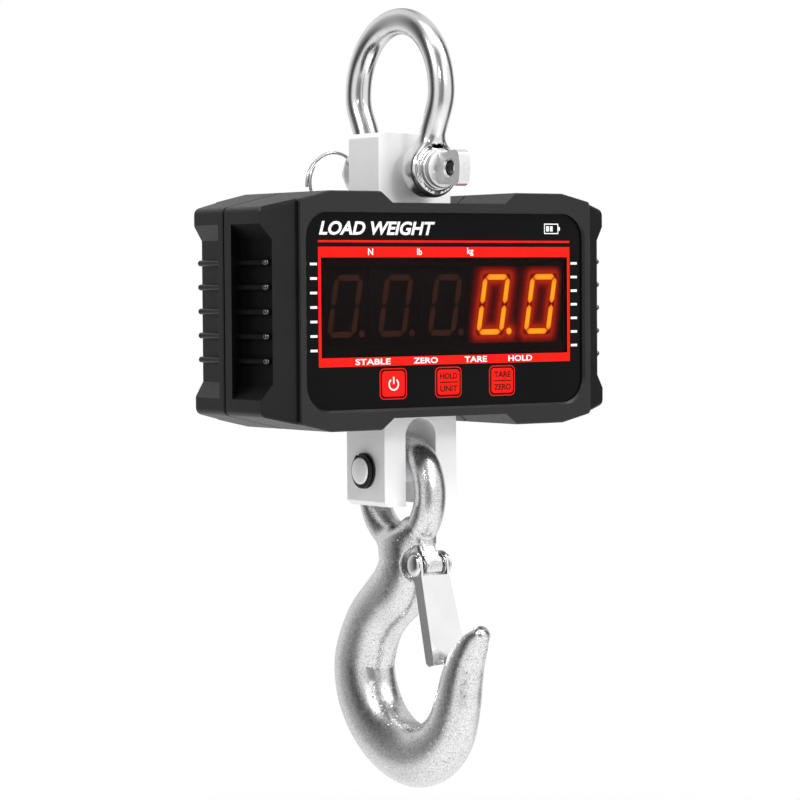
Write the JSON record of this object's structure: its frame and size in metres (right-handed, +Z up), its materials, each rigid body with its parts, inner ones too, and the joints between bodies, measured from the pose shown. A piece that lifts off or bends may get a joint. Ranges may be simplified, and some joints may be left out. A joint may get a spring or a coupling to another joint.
{
  "type": "crane scale",
  "caption": "Hanging crane scale: bow shackle above, boxed housing with a numeric display and keys, and a swinging safety hook below.",
  "frame": {"origin": "inner crown of the shackle's bow, the point from which the scale hangs", "axes": "+Z up along the line of pull, the display faces -Y, +X to the right of a reader of the display"},
  "size_m": [0.208, 0.1203, 0.3872],
  "materials": {
    "polished_steel": "mirror polished with soft streaks",
    "spring_steel": "drawn wire",
    "machined_alloy": "fine milled, satin",
    "forged_zinc": "zinc plated forging, speckled and satin",
    "black_oxide": "satin black",
    "black_housing": "fine leather grain, matte",
    "black_rubber": "matte",
    "gloss_black": "glossy printed label",
    "smoked_lens": "tinted clear lens",
    "digit": "unlit display face",
    "red_key": "satin printed key",
    "circuit_board": "satin solder mask",
    "battery_wrap": "shrink wrap"
  },
  "bodies": {
    "shackle": {"shackle_bow": "polished_steel", "shackle_pin": "polished_steel"},
    "safety_ring": {"safety_ring": "spring_steel"},
    "scale": {"load_cell": "machined_alloy", "gauge_cover_front": "black_rubber", "gauge_cover_rear": "black_rubber", "hook_pin": "polished_steel", "pin_washer_left": "black_oxide", "pin_washer_right": "black_oxide", "pin_clip_left": "black_oxide", "pin_clip_right": "black_oxide", "front_shell": "black_housing", "rear_shell": "black_housing", "gasket_left": "black_rubber", "gasket_right": "black_rubber", "case_screw_1": "black_oxide", "case_screw_2": "black_oxide", "case_screw_3": "black_oxide", "case_screw_4": "black_oxide", "door_screw_1": "black_oxide", "door_screw_2": "black_oxide", "cell_screw_1": "black_oxide", "cell_screw_2": "black_oxide", "face_panel": "gloss_black", "display_window": "smoked_lens", "digit_module_1": "digit", "digit_module_2": "digit", "digit_module_3": "digit", "digit_module_4": "digit", "digit_module_5": "digit", "display_board": "circuit_board", "switch_power": "black_oxide", "switch_hold": "black_oxide", "switch_tare": "black_oxide", "main_board": "circuit_board", "battery_pack": "battery_wrap", "battery_door": "black_housing", "charge_socket": "black_oxide", "socket_plug": "black_rubber"},
    "button_power": {"button_power": "red_key"},
    "button_hold": {"button_hold": "red_key"},
    "button_tare": {"button_tare": "red_key"},
    "hook": {"hook_body": "forged_zinc", "latch_rivet": "polished_steel"},
    "latch": {"hook_latch": "polished_steel", "latch_spring": "spring_steel"}
  },
  "joints": [
    {"name": "shackle_pivot", "type": "hinge", "parent": "shackle", "child": "scale", "pos_m": [0, 0, -0.0679], "axis": [0, 1, 0], "range_deg": [-80, 80]},
    {"name": "ring_pivot", "type": "hinge", "parent": "shackle", "child": "safety_ring", "pos_m": [0, 0.038, -0.0679], "axis": [0.3173, 0, -0.9483], "range_deg": [-5, 100]},
    {"name": "hook_pivot", "type": "hinge", "parent": "scale", "child": "hook", "pos_m": [0, 0, -0.2166], "axis": [1, 0, 0], "range_deg": [-50, 50]},
    {"name": "latch_pivot", "type": "hinge", "parent": "hook", "child": "latch", "pos_m": [0, -0.023, -0.263], "axis": [1, 0, 0], "range_deg": [0, 33], "stiffness_Nm_per_rad": 0.05, "springref_deg": -28.65},
    {"name": "press_power", "type": "slide", "parent": "scale", "child": "button_power", "axis": [0, 1, 0], "range_m": [0, 0.0008], "stiffness_N_per_m": 2000, "springref_m": -0.0003},
    {"name": "press_hold", "type": "slide", "parent": "scale", "child": "button_hold", "axis": [0, 1, 0], "range_m": [0, 0.0008], "stiffness_N_per_m": 2000, "springref_m": -0.0003},
    {"name": "press_tare", "type": "slide", "parent": "scale", "child": "button_tare", "axis": [0, 1, 0], "range_m": [0, 0.0008], "stiffness_N_per_m": 2000, "springref_m": -0.0003}
  ]
}
